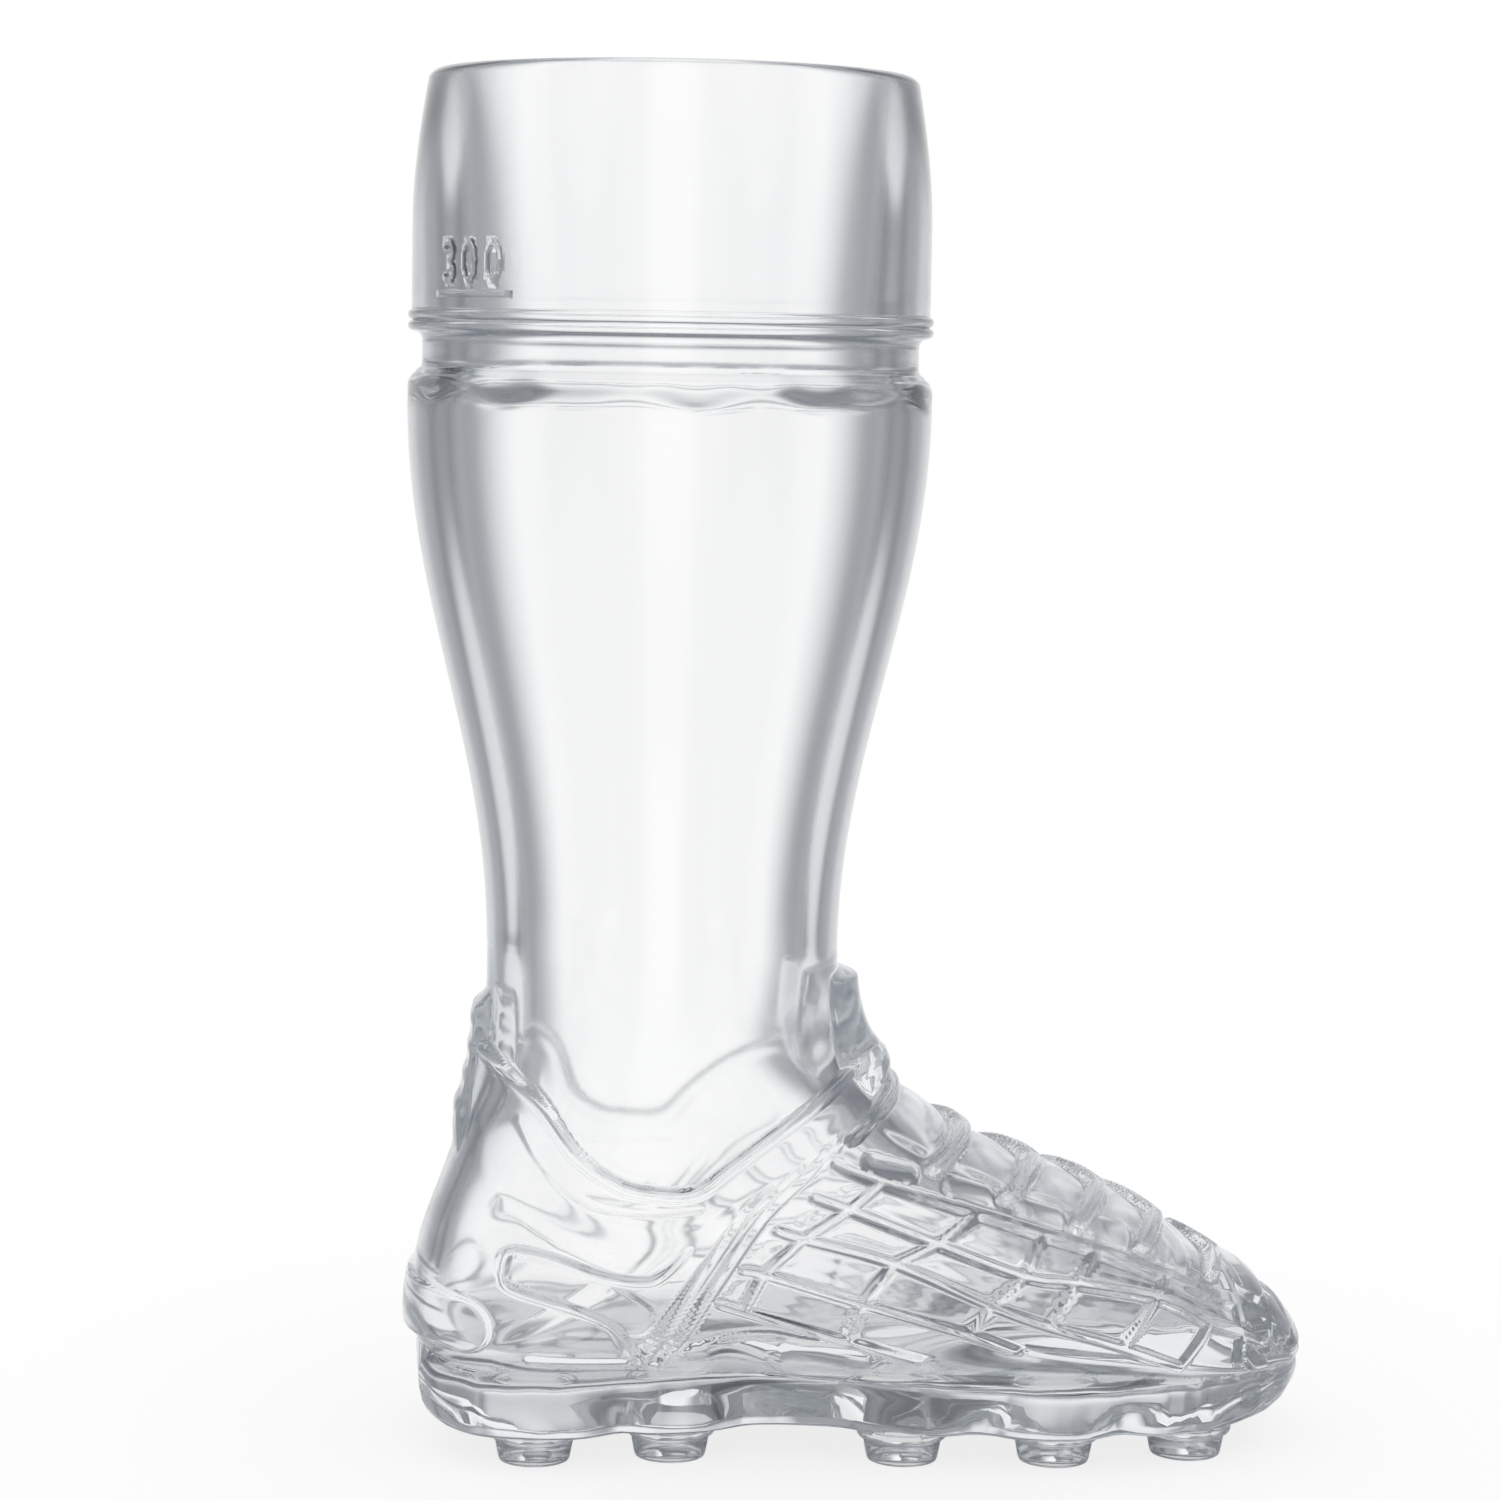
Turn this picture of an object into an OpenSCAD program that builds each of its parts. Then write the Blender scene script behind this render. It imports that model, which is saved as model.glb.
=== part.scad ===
// Beer boot glass: a tall round leg that runs down into a studded football boot, all of clear glass.
// The boot stands on its studs at z = 0 with its toe towards +X, and its two sides mirror each other.

/* [Leg] */
// Height of the rim above the table
boot_h = 193; // [170:1:230]
// Height at which the leg meets the foot
ankle_z = 71; // [62:1:84]
// Outer radius of the calf, the widest round of the leg
calf_r = 36.8; // [32:0.1:44]
// Outer radius of the ankle
ankle_r = 25; // [21:0.1:29]
// Outer radius of the rim's lip
rim_r = 34; // [30:0.1:40]
// Outer radius of the rim band above the ring
band_r = 36.3; // [32:0.1:43]
// Height of the rim band
band_h = 33; // [25:0.5:40]
// Outer radius of the ring bead
ring_r = 36.8; // [33:0.1:45]
// Height of the ring bead
ring_h = 3; // [2:0.1:5]
// Outer radius of the groove under the ring bead
groove_r = 34.8; // [31:0.1:41]
// Height of the groove
groove_h = 5.5; // [4:0.1:8]
// Height of the rounded shoulder under the groove
shoulder_h = 2.2; // [1:0.1:4]

/* [Glass] */
// Glass at the rim's lip
lip_wall = 3.4; // [2.4:0.1:5]
// Radius of the bore behind the ring and the groove
neck_bore_r = 28.8; // [24:0.1:31]
// Glass at the calf
calf_wall = 5.8; // [4:0.1:7]
// Glass at the ankle
ankle_wall = 4.8; // [3.4:0.1:6]
// Glass at the sides of the foot
foot_wall = 6.8; // [3.6:0.1:8]
// Glass between the hollow of the foot and the sole
floor_wall = 2.2; // [1.4:0.1:5]

/* [Foot] */
// Reach of the heel behind the axis of the leg
heel_reach = 36.2; // [32:0.1:44]
// Reach of the toe in front of the axis of the leg
toe_reach = 93.5; // [76:0.1:105]
// Width of the heel
heel_w = 51; // [44:0.5:60]
// Width of the foot across its ball
ball_w = 57; // [48:0.5:68]

/* [Sole] */
// Height of the sole's upper face, where the foot rests on it
sole_z = 13; // [11:0.1:16]
// Height of a stud
stud_h = 4.5; // [3:0.1:6]
// Radius of a stud where it stands on the table
stud_r = 5; // [4:0.1:6]
// Radius of a stud's round base
stud_base_r = 6.4; // [5:0.1:7.5]
// Height of a stud's round base
stud_base_h = 1.2; // [0.8:0.1:2]
// How far the sole's lower edge is drawn in
sole_bevel = 2.4; // [1:0.1:4]

/* [Relief] */
// Width of a rib of the side grid
rib_w = 1.4; // [1:0.1:2.4]
// How far a rib of the grid stands out
rib_h = 0.6; // [0.4:0.1:1.2]
// Width of a lace bar
lace_w = 2.6; // [1.8:0.1:3.6]
// How far a lace bar stands out
lace_h = 1.5; // [1:0.1:2.4]
// How far the pads between the lace bars stand out
lace_pad_h = 0.9; // [0.5:0.1:1.4]
// Width of an eyestay pad
eyestay_w = 3.4; // [2.4:0.1:4.4]
// How far the eyestay pads, heel pads and arch pads stand out
pad_h = 0.8; // [0.5:0.1:1.5]
// Height of the rounded bar on the side of the heel
heel_pad_w = 5.8; // [4:0.1:7]
// Width of the diagonal stripe
stripe_w = 4.2; // [3:0.1:6]
// How far the diagonal stripe stands out
stripe_h = 0.9; // [0.6:0.1:1.6]
// Width of the padded ankle collar
collar_w = 6; // [4:0.1:8]
// How far the ankle collar stands out
collar_h = 1.3; // [0.8:0.1:2.2]
// How far the heel cup and the side lugs of the sole stand out
lug_h = 1.3; // [0.8:0.1:2.2]
// Height of the heel cup and of the side lugs
lug_w = 5.6; // [4:0.1:8]
// Width of the heel tab
tab_w = 13; // [9:0.5:17]
// How far the heel tab stands out behind the ankle
tab_h = 2.5; // [1.6:0.1:3.6]
// Width of the tongue
tongue_w = 24; // [18:0.5:30]
// How far the tongue stands out in front of the ankle
tongue_h = 3.4; // [2:0.1:4.5]

/* [Fill mark] */
// Height of the fill line above the ring bead
mark_rise = 1.6; // [0.8:0.1:4]
// Height of a numeral
digit_h = 6.2; // [4:0.1:8]
// Width of a numeral
digit_w = 3.4; // [2.4:0.1:4.6]
// Distance from one numeral to the next along the glass
digit_pitch = 4.7; // [3.8:0.1:6]
// Width of a numeral's stroke
stroke_w = 0.8; // [0.5:0.1:1.1]
// How far the fill mark stands out
mark_h = 0.35; // [0.2:0.05:0.6]
// Length of the fill line along the glass
line_len = 16; // [10:0.5:24]

/* [Hidden] */
$fn = 64;

// Place of the leg's axis: the origin is the middle of the boot's plan
leg_x = (heel_reach - toe_reach) / 2;
foot_len = heel_reach + toe_reach;
// Heights where the pieces of the leg meet
band_z = boot_h - band_h;
groove_z = band_z - ring_h;
leg_top = groove_z - groove_h;
leg_h = leg_top - ankle_z;
calf_z = ankle_z + leg_h / 2;
// The calf has its full radius from this share of the leg's height upwards
calf_rise_share = 0.95;
// The rim band has its full radius from this share of its height downwards
band_rise_share = 0.65;
// Height over which the bore narrows from the calf to the neck
throat_h = shoulder_h * 2;
// Clearance under the numerals, which are flat where the glass is round
seat_gap = 0.01;

function mix(a, b, t) = a + (b - a) * t;
function s_curve(t) = (1 - cos(180 * min(1, max(0, t)))) / 2;

function calf_share(z) = s_curve((z - ankle_z) / (leg_h * calf_rise_share));
function leg_r(z) = mix(ankle_r, calf_r, calf_share(z));
function leg_bore_r(z) = leg_r(z) - mix(ankle_wall, calf_wall, calf_share(z));
function leg_heights(z0, z1, steps) = [for (i = [0 : steps]) mix(z0, z1, i / steps)];

function band_outer_r(z) =
    mix(rim_r, band_r, sin(90 * min(1, (boot_h - z) / (band_h * band_rise_share))));
function band_bore_r(z) = mix(neck_bore_r, rim_r - lip_wall, (z - band_z) / band_h);

function reversed(list) = [for (i = [len(list) - 1 : -1 : 0]) list[i]];
function arc(cx, cy, rx, ry, a0, a1, steps) =
    [for (i = [0 : steps]) let(a = mix(a0, a1, i / steps)) [cx + rx * cos(a), cy + ry * sin(a)]];

// Moves what is drawn about the leg's axis to its place in the boot
module at_leg() {
    translate([leg_x, 0, 0]) children();
}

module turned(profile) {
    at_leg() rotate_extrude() polygon(profile);
}

// Upper band of the leg, which widens downwards and ends in a rounded lip
module rim_band() {
    lip = lip_wall / 2;
    outer = [for (z = leg_heights(band_z, boot_h - lip, 8)) [band_outer_r(z), z]];
    inner = [for (z = leg_heights(boot_h - lip, band_z, 2)) [band_bore_r(z), z]];
    right = band_outer_r(boot_h - lip);
    left = band_bore_r(boot_h - lip);
    edge = arc((left + right) / 2, boot_h - lip, (right - left) / 2, lip, 20, 160, 7);
    color("aliceblue") turned(concat(outer, edge, inner));
}

// Two half-round beads, one above the other, make the ring
module ring_bead() {
    bead = ring_h / 4;
    lower = arc(ring_r - bead, groove_z + bead, bead, bead, -90, 90, 6);
    upper = arc(ring_r - bead, band_z - bead, bead, bead, -90, 90, 6);
    inner = [[neck_bore_r, band_z], [neck_bore_r, groove_z]];
    color("lightsteelblue") turned(concat(lower, upper, inner));
}

// The neck is drawn in under the ring, with a flare at its top and its foot
module neck_groove() {
    flare = groove_h / 4;
    lower = arc(groove_r + flare, leg_top + flare, flare, flare, 270, 180, 5);
    upper = arc(groove_r + flare, groove_z - flare, flare, flare, 180, 90, 5);
    inner = [[neck_bore_r, groove_z], [neck_bore_r, leg_top]];
    color("aliceblue") turned(concat(lower, upper, inner));
}

module calf() {
    outer = [for (z = leg_heights(calf_z, leg_top - shoulder_h, 10)) [leg_r(z), z]];
    shoulder_w = calf_r - groove_r;
    shoulder = arc(groove_r, leg_top - shoulder_h, shoulder_w, shoulder_h, 15, 90, 5);
    throat_z = leg_top - throat_h;
    throat = [
        for (t = [0 : 0.25 : 1])
            [mix(neck_bore_r, leg_bore_r(throat_z), s_curve(t)), mix(leg_top, throat_z, t)]
    ];
    inner = [for (z = leg_heights(throat_z - throat_h / 2, calf_z, 8)) [leg_bore_r(z), z]];
    color("azure") turned(concat(outer, shoulder, throat, inner));
}

module shin() {
    outer = [for (z = leg_heights(ankle_z, calf_z, 8)) [leg_r(z), z]];
    inner = [for (z = leg_heights(calf_z, ankle_z, 8)) [leg_bore_r(z), z]];
    color("aliceblue") turned(concat(outer, inner));
}

// Fill mark: a short raised line and the volume in millilitres, on the heel side of the near face
mark_angle = 217;
deg_per_mm = 180 / (PI * band_r);
line_h = stroke_w;
line_z = band_z + mark_rise;
digit_z = line_z + line_h + stroke_w + digit_h / 2;
number = [3, 0, 0];

module fill_line() {
    sweep = line_len * deg_per_mm;
    color("white") at_leg() rotate([0, 0, mark_angle - sweep / 2])
        rotate_extrude(angle = sweep)
            translate([band_r, line_z]) square([mark_h, line_h]);
}

module stroke(path) {
    for (i = [0 : len(path) - 2])
        hull() {
            translate([0, path[i][0], path[i][1]]) dot();
            translate([0, path[i + 1][0], path[i + 1][1]]) dot();
        }
}

module dot() {
    rotate([0, 90, 0]) cylinder(h = mark_h, d = stroke_w, $fn = 8);
}

// A three is two open bowls, and a zero is one closed ring
module digit(value) {
    half_w = (digit_w - stroke_w) / 2;
    bowl = (digit_h - stroke_w) / 4;
    if (value == 3) {
        stroke(arc(0, bowl, half_w, bowl, 150, -90, 5));
        stroke(arc(0, -bowl, half_w, bowl, 90, -150, 5));
    }
    if (value == 0) stroke(arc(0, 0, half_w, 2 * bowl, 0, 360, 9));
}

module fill_number() {
    step = digit_pitch * deg_per_mm;
    color("white") at_leg()
        for (i = [0 : len(number) - 1])
            rotate([0, 0, mark_angle + (i - (len(number) - 1) / 2) * step])
                translate([band_r + seat_gap, 0, digit_z]) digit(number[i]);
}

// The foot is lofted through slanted cuts that fan out from the ankle, round the heel, to the toe.
// Each row of shares places one cut:
// 0, 1: its front end, towards the toe from the ankle's front, and up from the sole to the ankle
// 2: its back end, backwards from the ankle's back to the heel's
// 3: the same end, forwards along the sole from heel to toe
// 4: the same end, up from the sole to the ankle
// 5: its width, from the ankle's to the heel's
// 6: its width, from the heel's to the ball's
// 7: taper of the width towards the toe
// 8: how far down the cut is widest
// 9: its squareness, where 2 is an ellipse
cut_shares = [
    [0.000, 1.00, 0.00, 0.00, 1.00, 0.00, 0.00, 1.00, 0.50, 2.0],
    [0.004, 0.88, 0.02, 0.00, 0.83, 0.00, 0.00, 1.00, 0.50, 2.0],
    [0.020, 0.77, 0.16, 0.00, 0.65, 0.10, 0.00, 1.00, 0.50, 2.0],
    [0.049, 0.70, 0.54, 0.00, 0.45, 0.40, 0.00, 1.00, 0.50, 2.1],
    [0.083, 0.665, 0.90, 0.00, 0.25, 0.80, 0.00, 1.00, 0.51, 2.2],
    [0.111, 0.645, 1.00, 0.00, 0.05, 1.00, 0.00, 1.00, 0.52, 2.3],
    [0.147, 0.62, 1.00, 0.05, -0.05, 1.00, 0.10, 1.00, 0.53, 2.4],
    [0.213, 0.57, 1.00, 0.21, -0.05, 1.00, 0.20, 1.00, 0.55, 2.4],
    [0.300, 0.51, 1.00, 0.41, -0.05, 1.00, 0.50, 1.00, 0.58, 2.4],
    [0.439, 0.445, 1.00, 0.63, -0.05, 1.00, 0.90, 1.00, 0.62, 2.4],
    [0.580, 0.382, 1.00, 0.77, -0.05, 1.00, 1.00, 1.00, 0.64, 2.4],
    [0.707, 0.312, 1.00, 0.85, -0.05, 1.00, 1.00, 0.94, 0.66, 2.4],
    [0.809, 0.234, 1.00, 0.903, -0.05, 1.00, 1.00, 0.83, 0.66, 2.3],
    [0.887, 0.175, 1.00, 0.943, -0.05, 1.00, 1.00, 0.70, 0.62, 2.2],
    [0.950, 0.110, 1.00, 0.974, -0.05, 1.00, 1.00, 0.52, 0.56, 2.1],
    [0.990, 0.050, 1.00, 0.995, -0.05, 1.00, 1.00, 0.26, 0.50, 2.0]
];
// Rows at which one piece of the foot meets the next, and where its hollow ends
ankle_row = 0;
heel_row = 2;
waist_row = 6;
vamp_row = 8;
toe_row = 11;
hollow_row = 12;
last_row = len(cut_shares) - 1;
// Cuts for each row, and points around each cut
row_steps = 2;
ring_n = 36;

// Smooth curve through a list of rows, where u counts rows
function row_at(u) = let(
    i = min(floor(u), last_row - 1), t = u - i,
    p0 = cut_shares[max(i - 1, 0)], p1 = cut_shares[i],
    p2 = cut_shares[i + 1], p3 = cut_shares[min(i + 2, last_row)]
) (2 * p1 + (p2 - p0) * t + (2 * p0 - 5 * p1 + 4 * p2 - p3) * t * t
    + (3 * p1 - p0 - 3 * p2 + p3) * t * t * t) / 2;

function front_end(row) =
    [mix(ankle_r, toe_reach, row[0]), 0, mix(sole_z, ankle_z, row[1])];
function back_end(row) =
    [-mix(ankle_r, heel_reach, row[2]) + row[3] * foot_len, 0, mix(sole_z, ankle_z, row[4])];
function half_width(row) =
    mix(mix(ankle_r, heel_w / 2, row[5]), ball_w / 2, row[6]) * row[7];
function bulged(v, e) = sign(v) * pow(abs(v), 2 / e);

// Point on one cut at an angle round it, from 0 at its front end to 180 at its back end:
// grow moves it outwards, and nothing lies lower than low_z, which also ends the cuts over the sole
function cut_point(u, angle, grow, low_z) = let(
    row = row_at(u), front = front_end(row), back = back_end(row),
    long = norm(back - front), dir = (back - front) / long,
    middle = mix(front, back, row[8]), along = -bulged(cos(angle), row[9]),
    reach = along < 0 ? long * row[8] + grow : long * (1 - row[8]) + (row[4] < 0 ? 0 : grow),
    p = middle + dir * along * reach,
    lift = p[2] < low_z ? (low_z - p[2]) / dir[2] : 0
) p + dir * lift + [0, (half_width(row) + grow) * bulged(sin(angle), row[9]), 0];
function cut_ring(u, grow, low_z) =
    [for (i = [0 : ring_n - 1]) cut_point(u, 360 * i / ring_n, grow, low_z)];
function cut_rings(u0, u1, grow, low_z) =
    [for (k = [0 : (u1 - u0) * row_steps]) cut_ring(u0 + k / row_steps, grow, low_z)];

function joined(lists) = [for (list = lists) for (item = list) item];
function tube_faces(rings, first, n) = joined([
    for (k = [0 : rings - 2]) for (i = [0 : n - 1]) let(
        j = (i + 1) % n, a = first + k * n, b = a + n
    ) [[a + i, a + j, b + i], [a + j, b + j, b + i]]
]);
function flipped(faces) = [for (f = faces) [f[0], f[2], f[1]]];
function fan_faces(first, n) = [for (i = [1 : n - 2]) [first, first + i + 1, first + i]];
function band_faces(outer, inner) = joined([
    for (i = [0 : ring_n - 1]) let(j = (i + 1) % ring_n)
        [[outer + i, inner + i, outer + j], [outer + j, inner + i, inner + j]]
]);

// Solid through rings of n points each, from the first ring to the last
module loft(rings, n) {
    last = (len(rings) - 1) * n;
    polyhedron(
        joined(rings),
        concat(fan_faces(0, n), tube_faces(len(rings), 0, n), flipped(fan_faces(last, n))),
        convexity = 6
    );
}

// The hollow keeps to the same cuts, a wall further in, and has a flat floor over the sole
floor_squareness = 4;
function wall_at(u) = mix(ankle_wall, foot_wall, min(1, u / heel_row));
function hollow_point(u, angle) = let(
    row = row_at(u), front = front_end(row), back = back_end(row), wall = wall_at(u),
    long = norm(back - front), dir = (back - front) / long,
    floor_run = dir[2] < 0 ? (front[2] - sole_z - floor_wall) / -dir[2] : long,
    end = min(long - wall, floor_run), middle = mix(wall, end, row[8]),
    flat = min(1, (long - wall - end) / wall), low = cos(angle) < 0,
    e = low ? mix(row[9], floor_squareness, flat) : row[9],
    run = middle - bulged(cos(angle), e) * (low ? end - middle : middle - wall)
) front + dir * run + [0, (half_width(row) - wall) * bulged(sin(angle), e), 0];
function hollow_rings(u0, u1) = [
    for (k = [0 : (u1 - u0) * row_steps])
        [for (i = [0 : ring_n - 1]) hollow_point(u0 + k / row_steps, 360 * i / ring_n)]
];

// Hollow piece of the foot between two rows
module foot_piece(u0, u1) {
    outer = cut_rings(u0, u1, 0, sole_z);
    inner = hollow_rings(u0, u1);
    n = len(outer);
    far_outer = (n - 1) * ring_n;
    at_leg() polyhedron(
        joined(concat(outer, inner)),
        concat(
            tube_faces(n, 0, ring_n), flipped(tube_faces(n, n * ring_n, ring_n)),
            band_faces(0, n * ring_n), flipped(band_faces(far_outer, far_outer + n * ring_n))
        ),
        convexity = 6
    );
}

module ankle_wall() {
    color("azure") foot_piece(ankle_row, heel_row);
}

module heel_wall() {
    color("lightblue") foot_piece(heel_row, waist_row);
}

module waist_wall() {
    color("azure") foot_piece(waist_row, vamp_row);
}

module vamp_wall() {
    color("lightblue") foot_piece(vamp_row, toe_row);
}

// The toe is closed, and its hollow ends short of it
module toe_wall() {
    outer = cut_rings(toe_row, last_row, 0, sole_z);
    inner = hollow_rings(toe_row, hollow_row);
    n = len(outer);
    m = len(inner);
    color("azure") at_leg() polyhedron(
        joined(concat(outer, inner)),
        concat(
            tube_faces(n, 0, ring_n), flipped(tube_faces(m, n * ring_n, ring_n)),
            band_faces(0, n * ring_n), flipped(fan_faces((n - 1) * ring_n, ring_n)),
            fan_faces((n + m - 1) * ring_n, ring_n)
        ),
        convexity = 6
    );
}

// Relief is placed from the side: shares run from heel to toe, and from the sole up to the ankle
function side(share) =
    [mix(-heel_reach, toe_reach, share[0]), mix(sole_z, ankle_z, share[1])];
function sides(shares) = [for (s = shares) side(s)];

// Which side of the cut at u a point of the side view lies on
function past_cut(p, u) = let(
    row = row_at(u), front = front_end(row), back = back_end(row)
) (back[0] - front[0]) * (p[1] - front[2]) - (back[2] - front[2]) * (p[0] - front[0]);
function cut_at(p, u0, u1, tries) = let(u = (u0 + u1) / 2)
    tries == 0 ? u : past_cut(p, u) > 0 ? cut_at(p, u, u1, tries - 1) : cut_at(p, u0, u, tries - 1);
// The cut and the angle round it that show at a point of the side view
search_steps = 14;
function spot(p) = let(
    u = cut_at(p, 0, last_row, search_steps),
    row = row_at(u), front = front_end(row), back = back_end(row),
    long = norm(back - front), dir = (back - front) / long,
    run = (p[0] - front[0]) * dir[0] + (p[1] - front[2]) * dir[2] - long * row[8],
    along = max(-1, min(1, run / (long * (run < 0 ? row[8] : 1 - row[8]))))
) [u, acos(-sign(along) * pow(abs(along), row[9] / 2))];

// Depth to which relief is moulded into the wall that carries it
moulded_in = 0.15;
function skin(place, h) = cut_point(place[0], place[1], h > 0 ? h : -moulded_in, sole_z);

// Smooth curve through a path, where steps is the number of its stretches
function path_at(path, u) = let(
    last = len(path) - 1, i = min(floor(u), last - 1), t = u - i,
    p0 = path[max(i - 1, 0)], p1 = path[i], p2 = path[i + 1], p3 = path[min(i + 2, last)]
) (2 * p1 + (p2 - p0) * t + (2 * p0 - 5 * p1 + 4 * p2 - p3) * t * t
    + (3 * p1 - p0 - 3 * p2 + p3) * t * t * t) / 2;
function smooth(path, steps) =
    [for (k = [0 : steps]) path_at(path, (len(path) - 1) * k / steps)];

// Sections of relief: shares of half its width across, and of its height
round_shares = [[-1, 0], [-0.6, 1], [0.6, 1], [1, 0]];
crown_shares = [[-1, 0], [-0.85, 0.6], [-0.4, 1], [0.4, 1], [0.85, 0.6], [1, 0]];
groove_shares =
    [[-1, 0], [-0.85, 1], [-0.3, 1], [-0.15, 0.35], [0.15, 0.35], [0.3, 1], [0.85, 1], [1, 0]];

module both_sides() {
    at_leg() {
        children();
        mirror([0, 1, 0]) children();
    }
}

// Rib along a path of the side view, with its ends narrowed and sloped down
end_width_share = 0.7;
module rib(path, w, h, section) {
    last = len(path) - 1;
    rings = [
        for (i = [0 : last]) let(
            run = path[min(i + 1, last)] - path[max(i - 1, 0)],
            across = [run[1], -run[0]] / norm(run) * w / 2,
            high = i == 0 || i == last ? h / 4 : h,
            wide = i == 0 || i == last ? end_width_share : 1
        ) [for (s = section) skin(spot(path[i] + across * s[0] * wide), high * s[1])]
    ];
    loft(rings, len(section));
}

// Bar over the instep from side to side: it starts low on one side and crosses at the top
bar_steps = 12;
// Share of a row over which the spacing of the cuts is measured
probe_share = 0.1;
module instep_bar(ends, w, h) {
    top = spot(side(ends[0]));
    low = spot(side(ends[1]));
    rings = [
        for (i = [0 : bar_steps]) let(
            t = 2 * i / bar_steps - 1, place = mix(top, low, abs(t)),
            angle = place[1] * (t < 0 ? -1 : 1), high = abs(t) == 1 ? h / 4 : h,
            pace = norm(cut_point(place[0] + probe_share, angle, 0, sole_z)
                - cut_point(place[0] - probe_share, angle, 0, sole_z)) / 2 / probe_share
        ) [
            for (s = round_shares)
                skin([place[0] - s[0] * w / 2 / pace, angle], high * s[1])
        ]
    ];
    loft(rings, len(round_shares));
}

// Swelling between two cuts, to half an angle each side of the middle one: h at its crown, edge at
// its rim, drawn in to a share of its width at the first cut, and swept back by a number of rows
module swelling(u0, u1, middle, half, first_share, swept, h, edge, nu, na) {
    function grid(top) = [
        for (i = [0 : nu]) for (j = [0 : na]) let(
            s = 2 * i / nu - 1, t = 2 * j / na - 1,
            crown = mix(edge, h, (1 - s * s * s * s) * (1 - t * t)),
            angle = middle + half * t * mix(first_share, 1, i / nu)
        ) skin([mix(u0, u1, i / nu) - swept * abs(t), angle], top ? crown : 0)
    ];
    n = (nu + 1) * (na + 1);
    function cell(i, j) = i * (na + 1) + j;
    upper = joined([
        for (i = [0 : nu - 1]) for (j = [0 : na - 1]) [
            [cell(i, j), cell(i, j + 1), cell(i + 1, j)],
            [cell(i, j + 1), cell(i + 1, j + 1), cell(i + 1, j)]
        ]
    ]);
    lower = [for (f = flipped(upper)) [f[0] + n, f[1] + n, f[2] + n]];
    rim = concat(
        [for (i = [0 : nu - 1]) cell(i, 0)], [for (j = [0 : na - 1]) cell(nu, j)],
        [for (i = [nu : -1 : 1]) cell(i, na)], [for (j = [na : -1 : 1]) cell(0, j)]
    );
    edges = joined([
        for (k = [0 : len(rim) - 1]) let(a = rim[k], b = rim[(k + 1) % len(rim)])
            [[a, b, a + n], [b, b + n, a + n]]
    ]);
    polyhedron(concat(grid(true), grid(false)), concat(upper, lower, edges), convexity = 4);
}

// Padded edge of the boot round the ankle, lowest below the ankle bone
// It starts beside the heel tab, at this share of the height up to the ankle, and this angle from it
collar_start_share = 0.72;
collar_tab_angle = 3.6;
collar_shares = [
    [0.14, 0.61], [0.175, 0.515], [0.21, 0.465], [0.25, 0.447],
    [0.30, 0.45], [0.345, 0.505], [0.39, 0.585], [0.428, 0.65]
];

module ankle_collar() {
    beside = (tab_w + collar_w) / 2 / ankle_r * 180 / PI + collar_tab_angle;
    start = [-ankle_r * cos(beside), mix(sole_z, ankle_z, collar_start_share)];
    color("powderblue") both_sides()
        rib(smooth(concat([start], sides(collar_shares)), 16), collar_w, collar_h, crown_shares);
}

// Stripe from the front of the ankle down to the sole, with a groove along its middle
stripe_shares = [[0.447, 0.60], [0.424, 0.525], [0.367, 0.415], [0.308, 0.226], [0.262, 0.06]];

module diagonal_stripes() {
    color("lightsteelblue") both_sides()
        rib(smooth(sides(stripe_shares), 10), stripe_w, stripe_h, groove_shares);
}

// Rounded bar low on each side of the heel, with a flute along its middle
heel_pad_shares = [
    [0.113, 0.28], [0.145, 0.257], [0.18, 0.23], [0.212, 0.203], [0.24, 0.165]
];

module heel_pads() {
    color("powderblue") both_sides()
        rib(sides(heel_pad_shares), heel_pad_w, pad_h, groove_shares);
}

// Pad under the arch, between the stripe and the lowest rib
arch_pad_shares = [[0.305, 0.075], [0.33, 0.088], [0.355, 0.085], [0.38, 0.07]];

module arch_pads() {
    color("powderblue") both_sides() rib(sides(arch_pad_shares), eyestay_w, pad_h, crown_shares);
}

// Tongue: a flap, a little narrower at its top, that stands off the front of the ankle
// It starts at this row of the cuts, and ends this many rows above the first lace bar
tongue_first_row = 0.5;
tongue_rows_above_lace = 0.6;
tongue_top_share = 0.9;

module tongue() {
    half = tongue_w / 2 / ankle_r * 180 / PI;
    last = spot(side(lace_shares[0][0]))[0] - tongue_rows_above_lace;
    color("lightblue") at_leg() swelling(
        tongue_first_row, last, 0, half, tongue_top_share, 0, tongue_h, tongue_h / 2, 6, 8
    );
}

// Heel tab: a pull loop down the back of the ankle
tab_cuts = [0.7, 2.85];
tab_top_share = 0.7;

module heel_tab() {
    half = tab_w / 2 / ankle_r * 180 / PI;
    color("lightblue") at_leg()
        swelling(tab_cuts[0], tab_cuts[1], 180, half, tab_top_share, 0, tab_h, tab_h / 2, 5, 6);
}

// Lace bars: each crosses the instep at the first place and ends on both sides at the second
lace_shares = [
    [[0.549, 0.665], [0.476, 0.565]],
    [[0.627, 0.55], [0.566, 0.486]],
    [[0.702, 0.475], [0.646, 0.415]],
    [[0.773, 0.41], [0.72, 0.35]],
    [[0.838, 0.34], [0.794, 0.293]],
    [[0.909, 0.23], [0.882, 0.205]]
];

module lace_bars() {
    color("lightsteelblue") at_leg()
        for (ends = lace_shares) instep_bar(ends, lace_w, lace_h);
}

// Between two lace bars the instep swells into a pad: shares of the room along and around it
pad_inset_share = 0.22;
pad_reach_share = 0.72;

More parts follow.
